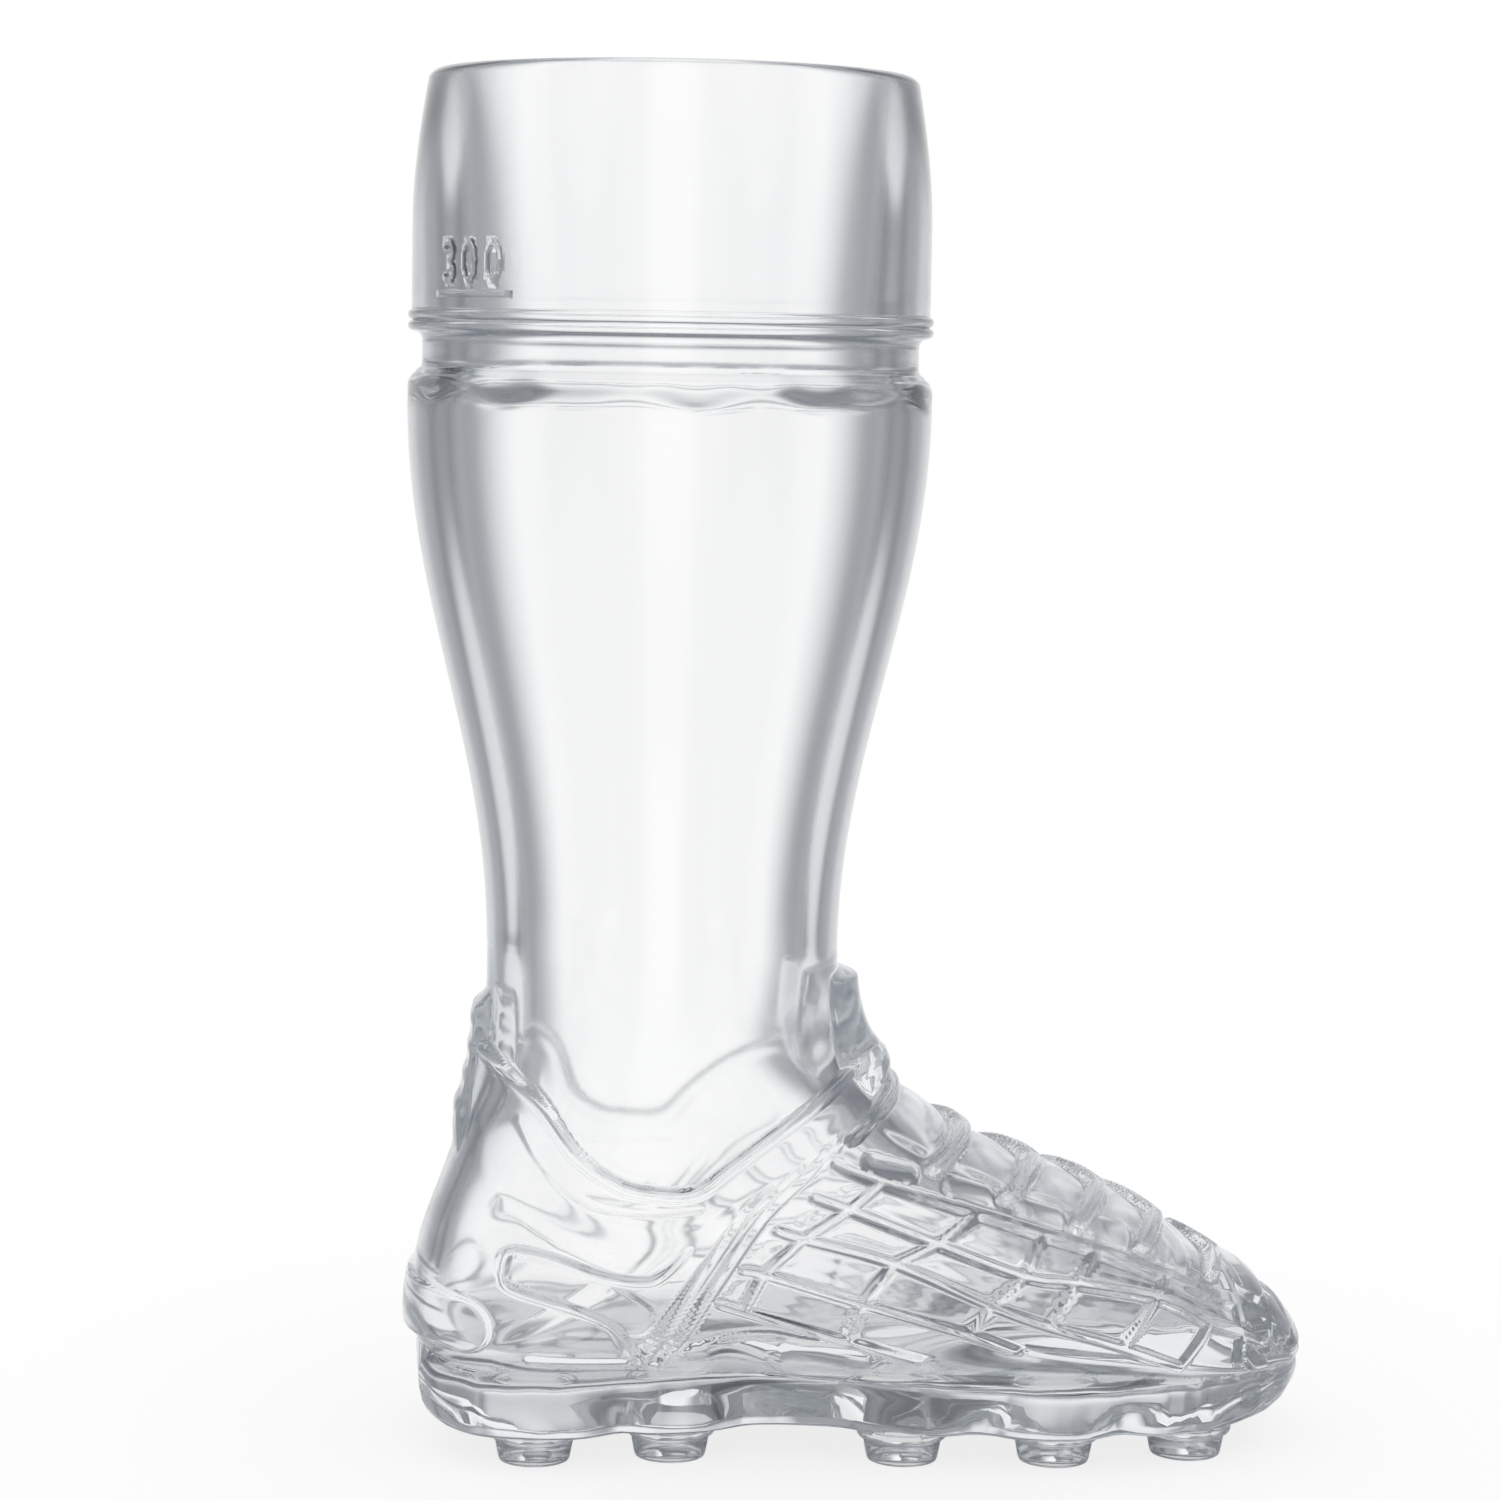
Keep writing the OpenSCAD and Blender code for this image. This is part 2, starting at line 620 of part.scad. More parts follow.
module lace_pads() {
    color("powderblue") at_leg()
        for (i = [0 : len(lace_shares) - 2]) {
            near = spot(side(lace_shares[i][0]))[0];
            far = spot(side(lace_shares[i + 1][0]))[0];
            low = spot(side(lace_shares[i][1]));
            inset = (far - near) * pad_inset_share;
            reach = low[1] * pad_reach_share;
            swept = (near - low[0]) * pad_reach_share;
            swelling(near + inset, far - inset, 0, reach, 1, swept, lace_pad_h, lace_pad_h / 3, 3, 8);
        }
}

// Grid of the side: each row is one long rib, and its places are where the cross ribs meet it
grid_shares = [
    [
        [0.453, 0.515], [0.505, 0.47], [0.61, 0.397], [0.68, 0.348],
        [0.737, 0.31], [0.815, 0.243], [0.862, 0.19]
    ],
    [
        [0.43, 0.445], [0.468, 0.415], [0.562, 0.335], [0.655, 0.262],
        [0.71, 0.245], [0.80, 0.205], [0.86, 0.135]
    ],
    [
        [0.39, 0.373], [0.418, 0.353], [0.515, 0.295], [0.617, 0.20],
        [0.68, 0.15], [0.76, 0.10], [0.825, 0.045]
    ],
    [[0.355, 0.281], [0.376, 0.273], [0.481, 0.203], [0.596, 0.13], [0.645, 0.09]],
    [[0.33, 0.20], [0.355, 0.183], [0.465, 0.112], [0.546, 0.06]]
];
// Rows of cells, and columns of cross ribs in each
cross_columns = [[1, 2, 3, 4, 5], [1, 2, 3, 4, 5, 6], [1, 2, 3], [1, 2]];

module long_ribs() {
    color("lightsteelblue") both_sides()
        for (row = grid_shares)
            rib(smooth(sides(row), 3 * (len(row) - 1)), rib_w, rib_h, round_shares);
}

// A cross rib ends just short of the two long ribs that it joins: share of a rib's width
trim_share = 0.58;

module cross_ribs() {
    color("lightsteelblue") both_sides()
        for (r = [0 : len(cross_columns) - 1]) for (c = cross_columns[r]) {
            upper = side(grid_shares[r][c]);
            lower = side(grid_shares[r + 1][c]);
            trim = (lower - upper) / norm(lower - upper) * rib_w * trim_share;
            rib(smooth([upper + trim, lower - trim], 4), rib_w, rib_h, round_shares);
        }
}

// Long rounded pads between the lace bars and the grid
eyestay_shares = [
    [[0.494, 0.517], [0.538, 0.486]], [[0.584, 0.452], [0.621, 0.424]],
    [[0.664, 0.391], [0.698, 0.368]], [[0.738, 0.344], [0.773, 0.322]], [[0.813, 0.285], [0.844, 0.257]]
];

module eyestay_pads() {
    color("powderblue") both_sides()
        for (pad = eyestay_shares) rib(smooth(sides(pad), 5), eyestay_w / 2, pad_h, crown_shares);
}

// Edges of the sole that rise onto the heel and onto the ball of the foot
cup_shares = [[0.012, 0.07], [0.04, 0.07], [0.08, 0.07], [0.11, 0.07]];
lug_shares = [[0.408, 0.06], [0.433, 0.06], [0.458, 0.055], [0.483, 0.05]];

module heel_cups() {
    color("powderblue") both_sides() rib(sides(cup_shares), lug_w, lug_h, crown_shares);
}

module side_lugs() {
    color("powderblue") both_sides() rib(sides(lug_shares), lug_w, lug_h, crown_shares);
}

// Plan of the sole: places from heel to toe, and half widths as shares of half the ball's width
sole_shares = [
    [0.00, 0.30], [0.02, 0.58], [0.07, 0.78], [0.16, 0.85], [0.28, 0.76], [0.38, 0.70],
    [0.50, 0.80], [0.62, 0.95], [0.72, 1.00], [0.82, 0.93], [0.90, 0.78], [0.96, 0.55], [0.992, 0.26]
];
sole_steps = 24;

function sole_side() = [
    for (s = smooth(sole_shares, sole_steps))
        [mix(-heel_reach, toe_reach, s[0]), s[1] * ball_w / 2]
];
function sole_ring(inset, z) = let(
    half = sole_side(), middle = (toe_reach - heel_reach) / 2, reach = foot_len / 2,
    along = (reach - inset) / reach, across = (ball_w / 2 - inset) / (ball_w / 2),
    ring = concat(half, [for (p = reversed(half)) [p[0], -p[1]]])
) [for (p = ring) [middle + (p[0] - middle) * along, p[1] * across, z]];

// Thick clear plate under the foot, drawn in at its lower edge
module sole_plate() {
    levels = [
        sole_ring(sole_bevel, stud_h), sole_ring(sole_bevel / 3, mix(stud_h, sole_z, 1 / 3)),
        sole_ring(0, mix(stud_h, sole_z, 2 / 3)), sole_ring(sole_bevel / 4, sole_z)
    ];
    n = len(levels[0]);
    walls = joined([
        for (k = [0 : len(levels) - 2]) for (i = [0 : n - 1]) let(
            j = (i + 1) % n, a = k * n, b = a + n
        ) [[a + i, a + j, b + i], [a + j, b + j, b + i]]
    ]);
    bottom = [for (i = [n - 1 : -1 : 0]) i];
    top = [for (i = [0 : n - 1]) (len(levels) - 1) * n + i];
    color("lightblue") at_leg() polyhedron(joined(levels), concat(walls, [bottom, top]), convexity = 6);
}

// Studs in pairs: places from heel to toe, and shares of half the ball's width to each side
heel_stud_shares = [[0.139, 0.52], [0.287, 0.48]];
forefoot_stud_shares = [[0.538, 0.60], [0.703, 0.65], [0.853, 0.56]];

module stud() {
    cylinder(h = stud_h - stud_base_h, r1 = stud_r, r2 = mix(stud_r, stud_base_r, 0.5));
    translate([0, 0, stud_h - stud_base_h]) cylinder(h = stud_base_h, r = stud_base_r);
}

module studs(places) {
    at_leg()
        for (p = places, s = [-1, 1])
            translate([mix(-heel_reach, toe_reach, p[0]), s * p[1] * ball_w / 2, 0]) stud();
}

module heel_studs() {
    color("lightsteelblue") studs(heel_stud_shares);
}

module forefoot_studs() {
    color("lightsteelblue") studs(forefoot_stud_shares);
}

rim_band();
fill_line();
fill_number();
ring_bead();
neck_groove();
calf();
shin();
ankle_wall();
heel_wall();
waist_wall();
vamp_wall();
toe_wall();
ankle_collar();
heel_tab();
heel_cups();
heel_pads();
diagonal_stripes();
arch_pads();
tongue();
lace_bars();
lace_pads();
eyestay_pads();
long_ribs();
cross_ribs();
side_lugs();
sole_plate();
heel_studs();
forefoot_studs();
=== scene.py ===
"""Beer boot glass: one piece of clear pressed glass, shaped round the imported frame."""

import math

import bmesh
import bpy
import numpy as np
from mathutils import Matrix, Vector

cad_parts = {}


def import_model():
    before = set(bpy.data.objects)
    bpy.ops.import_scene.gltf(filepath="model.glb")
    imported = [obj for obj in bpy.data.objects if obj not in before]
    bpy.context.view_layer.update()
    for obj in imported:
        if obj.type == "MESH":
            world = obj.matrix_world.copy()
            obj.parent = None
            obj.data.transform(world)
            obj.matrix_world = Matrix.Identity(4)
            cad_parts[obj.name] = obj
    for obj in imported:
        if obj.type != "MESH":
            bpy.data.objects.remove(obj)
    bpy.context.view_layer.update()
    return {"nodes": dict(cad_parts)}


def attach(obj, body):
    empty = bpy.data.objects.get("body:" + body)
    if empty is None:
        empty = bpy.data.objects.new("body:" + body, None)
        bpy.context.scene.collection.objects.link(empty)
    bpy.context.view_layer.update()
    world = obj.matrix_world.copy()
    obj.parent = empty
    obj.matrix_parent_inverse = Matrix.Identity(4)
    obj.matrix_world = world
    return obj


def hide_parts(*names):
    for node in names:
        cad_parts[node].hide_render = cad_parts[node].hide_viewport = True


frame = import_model()

# Sizes in millimetres, with x measured from the axis of the leg and z from the table
LEG_X = -28.65
HEEL, TOE = 36.2, 93.5
SOLE_Z, ANKLE_Z, LEG_TOP, BAND_Z, TOP_Z = 13.0, 71.0, 151.5, 160.0, 193.0
BALL_W, HEEL_W = 57.0, 51.0
ANKLE_R, CALF_R = 25.0, 36.8
ANKLE_WALL, CALF_WALL, FOOT_WALL, FLOOR_WALL = 4.8, 5.8, 6.8, 2.2
# The band's radius at the rim and at its fullest, and its hollow's at the rim and at the throat
RIM_R, BAND_R, MOUTH_R, THROAT_R = 34.0, 36.3, 30.7, 28.8
LIP_H = 1.7
# How much deeper than in the frame the fill mark is set, in metres
MARK_SEAT = 0.00012

# Points round the glass, rings along the toe and along the rest of the foot, and along its hollow
AROUND = 540
TOE_RINGS, HEEL_RINGS, HOLLOW_RINGS = 250, 170, 73

# The foot's cuts, from the ankle round the heel to the toe. Each row gives one cut's front end,
# its back end, its share of the heel's and of the ball's width, its width, how far down it is
# widest and how square it is
CUTS = np.array([
    [0.000, 1.00, 0.00, 0.00, 1.00, 0.00, 0.00, 1.00, 0.50, 2.0],
    [0.004, 0.88, 0.02, 0.00, 0.83, 0.00, 0.00, 1.00, 0.50, 2.0],
    [0.020, 0.77, 0.16, 0.00, 0.65, 0.10, 0.00, 1.00, 0.50, 2.0],
    [0.049, 0.70, 0.54, 0.00, 0.45, 0.40, 0.00, 1.00, 0.50, 2.1],
    [0.083, 0.665, 0.90, 0.00, 0.25, 0.80, 0.00, 1.00, 0.51, 2.2],
    [0.111, 0.645, 1.00, 0.00, 0.05, 1.00, 0.00, 1.00, 0.52, 2.3],
    [0.147, 0.62, 1.00, 0.05, -0.05, 1.00, 0.10, 1.00, 0.53, 2.4],
    [0.213, 0.57, 1.00, 0.21, -0.05, 1.00, 0.20, 1.00, 0.55, 2.4],
    [0.300, 0.500, 1.00, 0.41, -0.05, 1.00, 0.50, 1.00, 0.58, 2.4],
    [0.439, 0.430, 1.00, 0.63, -0.05, 1.00, 0.90, 1.00, 0.62, 2.4],
    [0.580, 0.360, 1.00, 0.77, -0.05, 1.00, 1.00, 1.00, 0.64, 2.4],
    [0.707, 0.282, 1.00, 0.85, -0.05, 1.00, 1.00, 0.94, 0.66, 2.4],
    [0.809, 0.208, 1.00, 0.903, -0.05, 1.00, 1.00, 0.83, 0.66, 2.3],
    [0.887, 0.175, 1.00, 0.943, -0.05, 1.00, 1.00, 0.70, 0.62, 2.2],
    [0.950, 0.110, 1.00, 0.974, -0.05, 1.00, 1.00, 0.52, 0.56, 2.1],
    [0.990, 0.050, 1.00, 0.995, -0.05, 1.00, 1.00, 0.26, 0.50, 2.0],
])
(FRONT_X, FRONT_Z, BACK_OUT, BACK_ON, BACK_Z, HEEL_SHARE, BALL_SHARE, WIDTH, WIDEST,
 SQUARE) = range(10)
# The cuts between which the hollow runs, and the one where the toe begins
LAST_CUT, HOLLOW_CUT, TOE_CUT = 15, 12, 6


def mix(a, b, t):
    return a + (b - a) * t


def smooth(t):
    t = np.clip(t, 0, 1)
    return t * t * (3 - 2 * t)


def through(table, u):
    """Smooth curve through a table's rows at row numbers u."""
    table = np.asarray(table, float)
    last = len(table) - 1
    i = np.clip(np.floor(u).astype(int), 0, last - 1)
    t = (u - i)[..., None]
    p0, p1 = table[np.maximum(i - 1, 0)], table[i]
    p2, p3 = table[i + 1], table[np.minimum(i + 2, last)]
    return (2 * p1 + (p2 - p0) * t + (2 * p0 - 5 * p1 + 4 * p2 - p3) * t**2
            + (3 * p1 - p0 - 3 * p2 + p3) * t**3) / 2


def ends(row):
    """The x and z of each cut's front end and back end."""
    front = np.stack([mix(ANKLE_R, TOE, row[:, FRONT_X]),
                      mix(SOLE_Z, ANKLE_Z, row[:, FRONT_Z])], 1)
    back = np.stack([-mix(ANKLE_R, HEEL, row[:, BACK_OUT]) + row[:, BACK_ON] * (HEEL + TOE),
                     mix(SOLE_Z, ANKLE_Z, row[:, BACK_Z])], 1)
    return front, back


def half_width(row):
    heel_part = mix(ANKLE_R, HEEL_W / 2, row[:, HEEL_SHARE])
    return mix(heel_part, BALL_W / 2, row[:, BALL_SHARE]) * row[:, WIDTH]


def bulged(v, square):
    return np.sign(v) * np.abs(v) ** (2 / square)


def tucked(x, z):
    """The heel draws in a little toward the sole, and the toe above it."""
    heel = (0.7 + 1.2 * smooth((17.0 - z) / 5)) * smooth((-x - 22) / 12)
    return x + heel - 0.9 * smooth((x - 55) / 35) * smooth((z - 12) / 4)


def foot_skin(u, angle):
    """Outer skin of the foot on a grid of cuts u and angles, without its relief."""
    row = through(CUTS, u)
    front, back = ends(row)
    way = (back - front) / np.linalg.norm(back - front, axis=1)[:, None]
    c, s = np.cos(angle)[None, :], np.sin(angle)[None, :]
    square, widest = row[:, SQUARE][:, None], row[:, WIDEST][:, None]
    along = -bulged(c, square)
    run = widest + along * np.where(along < 0, widest, 1 - widest)
    x = front[:, :1] + (back - front)[:, :1] * run
    z = front[:, 1:] + (back - front)[:, 1:] * run
    # The skin stops just inside the sole
    low = SOLE_Z - 0.6
    lift = np.where(z < low, (low - z) / np.minimum(way[:, 1:], -1e-3), 0)
    x, z = x + way[:, :1] * lift, z + way[:, 1:] * lift
    y = half_width(row)[:, None] * bulged(s, square)
    return np.stack([tucked(x, z), y, z], -1)


def foot_hollow(u, angle):
    """The hollow of the foot on the same cuts, with squarer corners where it meets its floor."""
    row = through(CUTS, u)
    front, back = ends(row)
    wall = mix(ANKLE_WALL, FOOT_WALL, smooth(u / 2.8))
    floor = SOLE_Z + FLOOR_WALL
    long = np.linalg.norm(back - front, axis=1)
    way = (back - front) / long[:, None]
    floor_run = np.where(way[:, 1] < -1e-6,
                         (front[:, 1] - floor) / np.maximum(-way[:, 1], 1e-6), long)
    end = np.minimum(long - wall, floor_run)
    middle = mix(wall, end, row[:, WIDEST])
    on_floor = np.minimum(1, (long - wall - end) / wall)
    c, s = np.cos(angle)[None, :], np.sin(angle)[None, :]
    low = c < 0
    square = row[:, SQUARE][:, None]
    square = np.where(low, mix(square, 7, on_floor[:, None]), square)
    half = np.where(low, (end - middle)[:, None], (middle - wall)[:, None])
    run = middle[:, None] - bulged(c, square) * half
    x, z = front[:, :1] + way[:, :1] * run, front[:, 1:] + way[:, 1:] * run
    y = (half_width(row) - wall)[:, None] * bulged(s, square)
    return np.stack([x, y, z], -1)


# ---- relief of the foot, as heights over its skin ----
def side(table):
    """Points of the side view from their shares of the foot's length and height."""
    t = np.asarray(table, float)
    return np.stack([mix(-HEEL, TOE, t[:, 0]), mix(SOLE_Z, ANKLE_Z, t[:, 1])], 1)


def curve(table, steps=4):
    p = side(table)
    return through(p, np.linspace(0, len(p) - 1, (len(p) - 1) * steps + 1))


TOPLINE = [
    [-0.02, 0.80], [0.06, 0.79], [0.099, 0.743], [0.143, 0.667], [0.177, 0.563], [0.216, 0.50],
    [0.249, 0.477], [0.299, 0.474], [0.339, 0.531], [0.385, 0.60], [0.435, 0.664], [0.50, 0.75],
]
PADDING = [
    [0.121, 0.615], [0.142, 0.528], [0.175, 0.458], [0.206, 0.429], [0.249, 0.42], [0.307, 0.428],
]
STRIPE = [[0.447, 0.60], [0.424, 0.525], [0.367, 0.415], [0.308, 0.226], [0.262, 0.06]]
HEEL_PAD = [[0.113, 0.28], [0.145, 0.257], [0.18, 0.23], [0.212, 0.203], [0.24, 0.165]]
HEEL_LINES = [
    [[0.103, 0.262], [0.106, 0.298], [0.115, 0.314], [0.153, 0.303], [0.207, 0.264],
     [0.25, 0.253], [0.271, 0.272], [0.293, 0.326], [0.305, 0.378], [0.307, 0.42]],
    [[0.103, 0.262], [0.104, 0.238], [0.115, 0.222], [0.151, 0.201], [0.186, 0.178],
     [0.218, 0.143], [0.235, 0.085], [0.244, 0.03]],
]
SOLE_LINE = [
    [0.13, 0.045], [0.20, 0.04], [0.25, 0.045], [0.30, 0.085], [0.345, 0.12], [0.385, 0.125],
    [0.42, 0.11], [0.46, 0.10], [0.50, 0.08],
]
ARCH_PAD = [[0.305, 0.075], [0.33, 0.088], [0.355, 0.085], [0.38, 0.07]]
CUP = [[-0.01, 0.125], [0.03, 0.125], [0.06, 0.12]]
LUG = [[0.408, 0.06], [0.433, 0.06], [0.458, 0.055], [0.483, 0.05]]
GRID = [
    [[0.453, 0.515], [0.505, 0.47], [0.61, 0.397], [0.68, 0.348], [0.737, 0.31],
     [0.815, 0.243], [0.862, 0.19]],
    [[0.43, 0.445], [0.468, 0.415], [0.562, 0.335], [0.655, 0.262], [0.71, 0.245],
     [0.80, 0.205], [0.86, 0.135]],
    [[0.39, 0.373], [0.418, 0.353], [0.515, 0.295], [0.617, 0.2], [0.68, 0.15],
     [0.76, 0.10], [0.825, 0.045]],
    [[0.355, 0.281], [0.376, 0.273], [0.481, 0.203], [0.596, 0.13], [0.645, 0.09]],
    [[0.33, 0.2], [0.355, 0.183], [0.465, 0.112], [0.546, 0.06]],
]
# The points of each line of the grid from which a cross rib runs down to the next line
CROSS = [[1, 2, 3, 4, 5], [1, 2, 3, 4, 5, 6], [1, 2, 3], [1, 2]]
TOE_RIBS = [
    [[0.862, 0.19], [0.90, 0.155], [0.935, 0.115], [0.965, 0.07]],
    [[0.86, 0.135], [0.90, 0.10], [0.935, 0.06]],
    [[0.90, 0.21], [0.90, 0.155], [0.90, 0.10], [0.895, 0.04]],
    [[0.94, 0.17], [0.937, 0.11], [0.93, 0.05]],
]
TOE_PADS = [
    [[0.912, 0.185], [0.936, 0.16]], [[0.912, 0.13], [0.925, 0.085]],
    [[0.948, 0.115], [0.96, 0.07]], [[0.908, 0.05], [0.922, 0.02]], [[0.972, 0.085], [0.98, 0.04]],
]
EYESTAY = [
    [[0.494, 0.517], [0.538, 0.486]], [[0.584, 0.452], [0.621, 0.424]],
    [[0.664, 0.391], [0.698, 0.368]], [[0.738, 0.344], [0.773, 0.322]],
    [[0.813, 0.285], [0.844, 0.257]],
]
# Each lace bar's place at the top of the instep and its lower end
LACES = [
    [[0.549, 0.665], [0.476, 0.565]], [[0.627, 0.55], [0.566, 0.486]],
    [[0.702, 0.475], [0.646, 0.415]], [[0.773, 0.41], [0.72, 0.35]],
    [[0.838, 0.34], [0.794, 0.293]], [[0.909, 0.23], [0.882, 0.205]],
]
# Flat-topped marks: paths, steps between two points of a path, height, half width and flank
LINES = [
    (TOE_RIBS, 3, 0.8, 0.7, 0.6),
    (TOE_PADS, 1, 0.9, 1.2, 0.7),
    ([HEEL_PAD], 4, 0.3, 2.6, 0.8),
    (HEEL_LINES, 4, 0.75, 0.55, 0.5),
    ([SOLE_LINE], 4, 0.6, 0.6, 0.5),
    ([CUP], 4, 0.7, 3.8, 0.8),
]
# Round-topped marks: paths, steps between two points of a path, height and half width
PADS = [
    ([ARCH_PAD], 4, 0.8, 1.7),
    ([LUG], 4, 1.2, 2.8),
    (EYESTAY, 1, 1.1, 1.4),
]


def place(p):
    """The cut and the angle round it that show at a point of the side view."""
    lo, hi = 0.0, len(CUTS) - 1.0
    for _ in range(20):
        u = (lo + hi) / 2
        front, back = (v[0] for v in ends(through(CUTS, np.array([u]))))
        (px, pz), (bx, bz) = p - front, back - front
        lo, hi = (u, hi) if bx * pz - bz * px > 0 else (lo, u)
    row = through(CUTS, np.array([u]))[0]
    long = np.linalg.norm(back - front)
    run = (p - front) @ (back - front) / long - long * row[WIDEST]
    share = row[WIDEST] if run < 0 else 1 - row[WIDEST]
    along = np.clip(run / (long * share), -1, 1)
    return u, math.acos(-np.sign(along) * abs(along) ** (row[SQUARE] / 2))


class Relief:
    """Heights over a grid of skin points, built up mark by mark."""

    def __init__(self, skin, u, angle):
        self.x, self.z = skin[..., 0], skin[..., 2]
        self.u = u[:, None]
        self.turn = np.abs(np.degrees(np.where(angle > np.pi, angle - 2 * np.pi, angle)))[None, :]
        step = np.linalg.norm(np.gradient(skin, axis=0), axis=-1)
        self.pace = step / np.abs(np.gradient(u))[:, None] + 1e-6
        self.h = np.zeros(self.x.shape)

    def near(self, path):
        """Distance from a path, in the side view."""
        best = np.full(self.x.shape, 1e9)
        for (ax, az), (bx, bz) in zip(path, path[1:]):
            dx, dz = bx - ax, bz - az
            t = ((self.x - ax) * dx + (self.z - az) * dz) / (dx * dx + dz * dz)
            t = np.clip(t, 0, 1)
            best = np.minimum(best, np.hypot(self.x - ax - t * dx, self.z - az - t * dz))
        return best

    def inside(self, polygon):
        odd = np.zeros(self.x.shape, bool)
        for (ax, az), (bx, bz) in zip(polygon, np.roll(polygon, -1, 0)):
            crossing = (az > self.z) != (bz > self.z)
            odd ^= crossing & (self.x < (bx - ax) * (self.z - az) / ((bz - az) or 1e-9) + ax)
        return odd

    def raise_to(self, h):
        self.h = np.maximum(self.h, h)


def ridge(d, half, flank):
    """Height of a flat-topped mark at distance d from its middle."""
    return smooth((half - d) / flank + 0.5)


def dome(d, half):
    """Height of a round-topped mark at distance d from its middle."""
    return np.sqrt(np.clip(1 - (d / half) ** 2, 0, 1))


def raise_collar(r):
    """The boot's top edge: a step all round the ankle, with a round rim and padding below it."""
    top = curve(TOPLINE)
    d = r.near(top) * np.where(r.z < np.interp(r.x, top[:, 0], top[:, 1]), 1, -1)
    r.raise_to(1.0 * smooth(d / 0.5 + 0.5) * smooth((13 - d) / 8))
    r.raise_to(1.5 * dome(np.abs(d - 0.7), 1.15))
    r.h -= 0.3 * ridge(r.near(curve(PADDING)), 0.25, 0.6)


def raise_grid(r):
    """Ribs of the side grid, a pillow in each of its cells, and the grooved stripe behind it."""
    stripe = r.near(curve(STRIPE))
    ribs = np.full(r.x.shape, 1e9)
    for line in GRID:
        ribs = np.minimum(ribs, r.near(curve(line, 3)))
    cells = np.zeros(r.x.shape, bool)
    for upper, lower, columns in zip(GRID, GRID[1:], CROSS):
        for c in columns:
            ribs = np.minimum(ribs, r.near(side([upper[c], lower[c]])))
            cells |= r.inside(side([upper[c - 1], upper[c], lower[c], lower[c - 1]]))
    gap = np.minimum(ribs - 0.75, stripe - 2.1)
    r.raise_to(np.where(cells, 0.1 * smooth(gap / 1.6), 0))
    r.raise_to(0.95 * ridge(ribs, 0.6, 0.6))
    r.raise_to(1.0 * ridge(stripe, 2.0, 0.5) - 0.6 * ridge(stripe, 0.4, 0.5))


def raise_laces(r):
    """Lace bars over the instep, each a pair of cords, and the pads between them."""
    tops = [place(side([top])[0])[0] for top, _ in LACES]
    lows = [place(side([low])[0]) for _, low in LACES]

    def middle(i):
        """Cut on which bar i lies, at each angle."""
        return mix(tops[i], lows[i][0], np.minimum(r.turn / math.degrees(lows[i][1]), 1.3))

    for i in range(len(LACES)):
        reach = math.degrees(lows[i][1])
        off = np.abs(r.u - middle(i)) * r.pace
        over = np.maximum(r.turn - reach, 0) / 360 * 150
        r.raise_to(2.1 * dome(np.hypot(off, over), 1.3) ** 0.8 - 0.6 * ridge(off, 0.25, 0.4))
        if i + 1 < len(LACES):
            span = (r.u - middle(i)) / (middle(i + 1) - middle(i))
            room = np.clip(1 - (2 * span - 1) ** 2 * 1.9, 0, 1)
            r.raise_to(0.8 * np.sqrt(room) * smooth((reach * 0.86 - r.turn) / 4))


def raise_tongue(r):
    """A rounded flap that stands off the ankle and thins out toward the laces."""
    t = (r.u - 0.5) / 3.9
    half = mix(0.85, 1, np.clip(t, 0, 1)) * 28
    height = 3.0 + 1.6 * smooth(t / 0.7) - 1.6 * smooth((t - 0.75) / 0.3)
    height = height * smooth(t / 0.05) * ((t > 0) & (t < 1))
    r.raise_to(height * np.clip(1 - (r.turn / half) ** 2, 0, 1) ** 0.6)


def raise_heel_tab(r):
    """A thin strap with cross ribs down the back of the ankle."""
    t = (r.u - 0.7) / 2.15
    back = 180 - r.turn
    half = mix(0.7, 1, np.clip(t, 0, 1)) * 13
    ribs = np.cos(np.clip(t, 0, 1) * 2 * np.pi * 5.5) * smooth((half * 0.75 - back) / 3)
    r.raise_to(smooth(t / 0.12) * smooth((1 - t) / 0.25) * smooth((half - back) / 4 + 0.5)
               * (1.9 + 0.15 * ribs))


def foot_relief(skin, u, angle):
    r = Relief(skin, u, angle)
    raise_collar(r)
    raise_grid(r)
    for paths, steps, high, half, flank in LINES:
        for path in paths:
            r.raise_to(high * ridge(r.near(curve(path, steps)), half, flank))
    for paths, steps, high, half in PADS:
        for path in paths:
            r.raise_to(high * dome(r.near(curve(path, steps)), half))
    raise_laces(r)
    raise_tongue(r)
    raise_heel_tab(r)
    # The relief fades out before the sole
    return r.h * smooth((r.z - SOLE_Z - 0.2) / 0.8)


def skin_with_relief(u, angle):
    skin = foot_skin(u, angle)
    du = np.gradient(skin, axis=0)
    da = np.gradient(np.concatenate([skin[:, -1:], skin, skin[:, :1]], 1), axis=1)[:, 1:-1]
    normal = np.cross(da, du)
    normal /= np.linalg.norm(normal, axis=-1, keepdims=True) + 1e-9
    # All normals point out of the glass, as the one halfway along the instep does
    normal *= np.sign((normal[len(u) // 2, 0] @ np.array([0.3, 0, 1.0])))
    return skin + normal * foot_relief(skin, u, angle)[..., None]


# ---- the glass as one tube: toe, foot, leg, lip, and the hollow back down to the toe ----
def leg_r(z):
    up = np.clip((z - ANKLE_Z) / (LEG_TOP - ANKLE_Z) / 0.95, 0, 1)
    return mix(ANKLE_R, CALF_R, (1 - np.cos(np.pi * up)) / 2)


def leg_bore_r(z):
    return leg_r(z) - mix(ANKLE_WALL, CALF_WALL, (leg_r(z) - ANKLE_R) / (CALF_R - ANKLE_R))


def band_r(z):
    down = np.minimum(1, (TOP_Z - z) / ((TOP_Z - BAND_Z) * 0.65))
    return mix(RIM_R, BAND_R, np.sin(np.pi / 2 * down)) - 0.02


